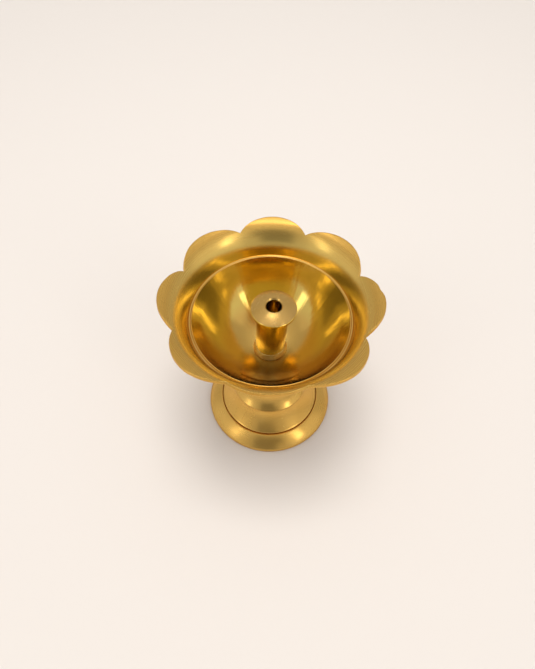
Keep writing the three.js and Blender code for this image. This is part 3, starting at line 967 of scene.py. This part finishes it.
def makeCamera(s):
    pitch, roll = math.radians(s["pitchDegrees"]), math.radians(s["rollDegrees"])
    forward = Vector((0, math.cos(pitch), -math.sin(pitch)))
    right = Vector((1, 0, 0))
    up = Vector((0, math.sin(pitch), math.cos(pitch)))
    place = -s["distance"] * forward + s["sideways"] * right + s["upward"] * up + Vector((0, 0, lipHeight))
    rolledRight = math.cos(roll) * right + math.sin(roll) * up
    rolledUp = -math.sin(roll) * right + math.cos(roll) * up
    axes = Matrix((rolledRight, rolledUp, -forward)).transposed().to_4x4()
    turn = Matrix.Rotation(math.radians(s["turnDegrees"]), 4, "Z")
    data = bpy.data.cameras.new("photoCamera")
    data.lens = s["lens"]
    data.sensor_width = 36
    data.clip_start = 0.005
    camera = bpy.data.objects.new("photoCamera", data)
    camera.matrix_world = turn @ Matrix.Translation(place * mm) @ axes
    scene.collection.objects.link(camera)
    scene.camera = camera


makeCamera(cameraSizes)


# Floor, world and lamps

studio = {
    "floorColour": (0.77, 0.717, 0.676, 1), "floorSize": 3.0, "darkest": 0.02,
}
# the studio's light: its level by height in degrees, then panels and dark shapes by direction
skyHeights = [(0, 0.6), (10, 0.64), (20, 0.64), (30, 0.62), (45, 0.64), (60, 0.8), (75, 0.9), (90, 0.9)]
# heading, height, half width, half height and softness in degrees, and what is added to the level
skyPanels = {
    "frontScreen": (270, 46, 24, 14, 5, -0.34),
    "frontShade": (266, 22, 18, 10, 7, -0.34),
    "backGap": (85, 4, 25, 9, 8, -0.15),
    "leftWall": (200, 25, 32, 19, 10, 0.18),
    "rightWall": (333, 27, 30, 19, 10, 0.27),
    "topWindow": (100, 79, 40, 8, 4, 2.9),
    "leftWindow": (214, 38, 6, 18, 2, 1.5),
    "rightWindow": (321, 40, 6, 17, 2, 2.2),
}

softboxes = {
    "overhead": {
        "at": (0.0, 0.03, 0.8), "size": (0.34, 0.34), "watts": 2.8, "aim": (0, 0, 0.03),
        "colour": (1.0, 0.97, 0.93),
    },
}


def makeFloor(s):
    mesh = bpy.data.meshes.new("floor")
    half = s["floorSize"] / 2
    corners = [(-half, -half, 0), (half, -half, 0), (half, half, 0), (-half, half, 0)]
    mesh.from_pydata(corners, [], [(0, 1, 2, 3)])
    floor = bpy.data.objects.new("floor", mesh)
    scene.collection.objects.link(floor)
    material, tree, shader = newMaterial("paleFloor")
    grain = noiseIn(tree, objectCoordinates(tree), 900, 3.0, 0.6)
    shade = mixedColour(
        tree, ranged(tree, grain, 0.3, 0.7, 0.0, 0.03), s["floorColour"], (0.7, 0.66, 0.62, 1))
    tree.links.new(shade, shader.inputs["Base Color"])
    shader.inputs["Roughness"].default_value = 0.85
    shader.inputs["Specular IOR Level"].default_value = 0.2
    mesh.materials.append(material)


def makeWorld(s):
    world = bpy.data.worlds.new("studioWorld")
    world.use_nodes = True
    scene.world = world
    tree = world.node_tree
    tree.nodes.clear()
    background = tree.nodes.new("ShaderNodeBackground")
    output = tree.nodes.new("ShaderNodeOutputWorld")
    direction = tree.nodes.new("ShaderNodeTexCoord").outputs["Generated"]
    split = tree.nodes.new("ShaderNodeSeparateXYZ")
    tree.links.new(direction, split.inputs[0])
    work = sumsIn(tree)
    heading = work("DEGREES", work("ARCTAN2", split.outputs[1], split.outputs[0]))
    height = work("DEGREES", work("ARCSINE", split.outputs[2]))
    top = max(value for _, value in skyHeights)
    ramp = tree.nodes.new("ShaderNodeValToRGB")
    stops = ramp.color_ramp.elements
    while len(stops) < len(skyHeights):
        stops.new(0.5)
    for stop, (degrees, value) in zip(stops, skyHeights):
        stop.position = degrees / 90
        stop.color = (value / top, value / top, value / top, 1)
    tree.links.new(work("DIVIDE", height, 90), ramp.inputs[0])
    level = work("MULTIPLY", ramp.outputs[0], top)
    for panelHeading, panelHeight, halfWidth, halfHeight, soft, added in skyPanels.values():
        aside = work("WRAP", work("SUBTRACT", heading, panelHeading), 180, -180)
        wide = work("SUBTRACT", halfWidth, work("ABSOLUTE", aside))
        tall = work("SUBTRACT", halfHeight, work("ABSOLUTE", work("SUBTRACT", height, panelHeight)))
        inX = work("ADD", work("DIVIDE", wide, soft), 0.5, clamp=True)
        inY = work("ADD", work("DIVIDE", tall, soft), 0.5, clamp=True)
        level = work("ADD", level, work("MULTIPLY", work("MULTIPLY", inX, inY), added))
    tree.links.new(work("MAXIMUM", level, s["darkest"]), background.inputs["Strength"])
    background.inputs["Color"].default_value = (1.0, 0.985, 0.96, 1)
    tree.links.new(background.outputs[0], output.inputs[0])


def makeSoftbox(name, s):
    data = bpy.data.lights.new(name, "AREA")
    data.shape = "RECTANGLE"
    data.size, data.size_y = s["size"]
    data.energy = s["watts"]
    data.color = s["colour"]
    lamp = bpy.data.objects.new(name, data)
    lamp.location = s["at"]
    lamp.rotation_euler = (Vector(s["aim"]) - Vector(s["at"])).to_track_quat("-Z", "Y").to_euler()
    # it shades the floor, and the metal mirrors the sky's panels instead
    lamp.visible_glossy = False
    scene.collection.objects.link(lamp)


makeFloor(studio)
makeWorld(studio)
for name, sizes in softboxes.items():
    makeSoftbox(name, sizes)
scene.view_settings.view_transform = "Standard"
print("camera, floor and lamps made")
